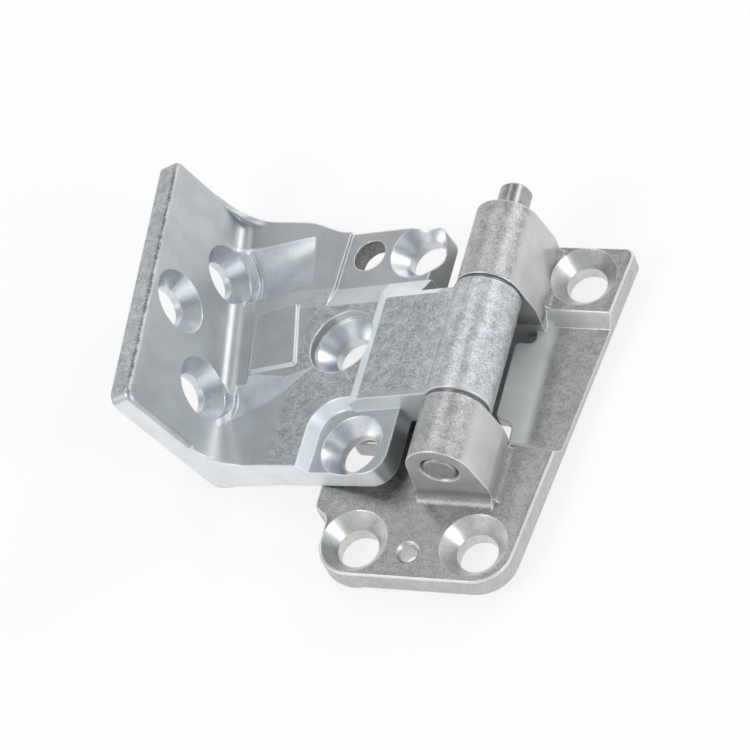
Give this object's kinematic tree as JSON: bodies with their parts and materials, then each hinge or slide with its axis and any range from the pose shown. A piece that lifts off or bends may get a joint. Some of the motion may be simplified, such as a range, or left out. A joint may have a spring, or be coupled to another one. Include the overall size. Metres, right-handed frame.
{
  "type": "car door hinge",
  "caption": "Cast door hinge: a flat pillar leaf with two lugs, an angled door leaf with a raised screw flange, a pin and flanged bushes.",
  "frame": {"origin": "centre of the pillar leaf's lower right screw hole, on the plane of its screw pads", "axes": "+Z away from the pillar, +Y along the hinge pin toward its free end, +X from the door leaf toward the pillar leaf's slanted edge"},
  "size_m": [0.1201, 0.1015, 0.0421],
  "materials": {
    "zinc_pillar": "satin",
    "zinc_door": "satin",
    "pin_steel": "satin",
    "bush_steel": "satin"
  },
  "bodies": {
    "pillar": {"pillar_leaf": "zinc_pillar", "hinge_pin": "pin_steel"},
    "door": {"door_leaf": "zinc_door", "lower_bush": "bush_steel", "upper_bush": "bush_steel"}
  },
  "joints": [
    {"name": "door_swing", "type": "hinge", "parent": "pillar", "child": "door", "pos_m": [-0.00775, 0.0118, 0.0201], "axis": [0, 1, 0], "range_deg": [0, 210]}
  ]
}
